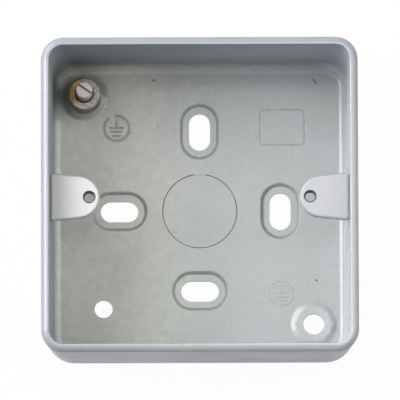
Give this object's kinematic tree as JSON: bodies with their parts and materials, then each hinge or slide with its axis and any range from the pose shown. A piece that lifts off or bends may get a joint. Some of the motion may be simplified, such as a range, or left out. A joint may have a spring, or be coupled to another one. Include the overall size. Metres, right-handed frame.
{
  "type": "surface mount back box",
  "caption": "Square open-fronted painted steel back box with slotted fixing feet, cover-fixing lugs, a round knockout and a screw-down earth terminal.",
  "frame": {"origin": "middle of the back, on the plane of the feet", "axes": "+Z out of the open front, +Y towards the top of the box on the wall, +X to the right seen from the front"},
  "size_m": [0.0864, 0.0864, 0.04],
  "materials": {
    "box_paint": "satin grey paint, mottled and lightly worn",
    "lug_paint": "satin grey paint over welded steel brackets",
    "terminal_brass": "dull brass, partly tarnished",
    "screw_plating": "bright plated brass"
  },
  "bodies": {
    "box": {"box_shell": "box_paint", "fixing_lug_right": "lug_paint", "fixing_lug_left": "lug_paint", "earth_terminal_pillar": "terminal_brass"},
    "terminal_screw": {"earth_terminal_screw": "screw_plating"}
  },
  "joints": [
    {"name": "terminal_screw_travel", "type": "slide", "parent": "box", "child": "terminal_screw", "axis": [0, 0, 1], "range_m": [-0.0046, 0.0015]}
  ]
}
